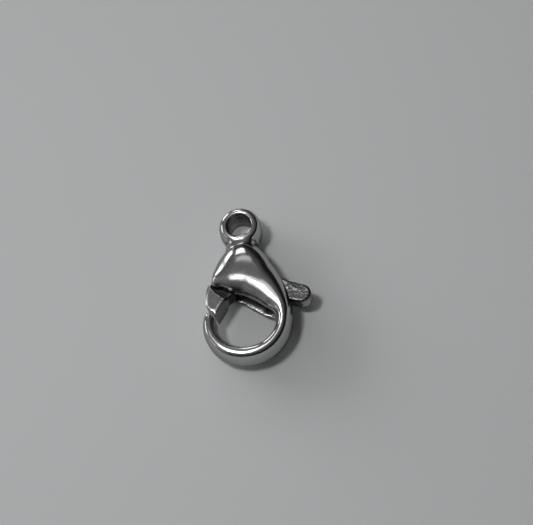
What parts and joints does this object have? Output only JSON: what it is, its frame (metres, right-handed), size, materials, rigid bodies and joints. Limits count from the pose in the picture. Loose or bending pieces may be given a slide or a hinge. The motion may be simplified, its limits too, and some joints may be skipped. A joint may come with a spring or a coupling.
{
  "type": "lobster clasp",
  "caption": "Jewellery lobster clasp: a cast hook with a bulging head, a sprung trigger that closes it, and an eyelet for a jump ring.",
  "frame": {"origin": "middle of the eyelet's bore, half way between its two faces", "axes": "+Y along the clasp from the hook to the eyelet, +X to the lever's side, +Z along the eyelet's bore and the trigger's pivot, to the front"},
  "size_m": [0.0077, 0.012, 0.003],
  "materials": {
    "polished_steel": "cast stainless steel, tumbled to a mirror with soft waves",
    "trigger_steel": "cast stainless steel, satin on the gate and as cast on the lever",
    "pin_steel": "ground end of a steel pin"
  },
  "bodies": {
    "body": {"body": "polished_steel", "pin": "pin_steel"},
    "trigger": {"trigger": "trigger_steel"}
  },
  "joints": [
    {"name": "trigger_pivot", "type": "hinge", "parent": "body", "child": "trigger", "pos_m": [-0.00036, -0.00381, 0], "axis": [0, 0, 1], "range_deg": [0, 24], "stiffness_Nm_per_rad": 0.02}
  ]
}
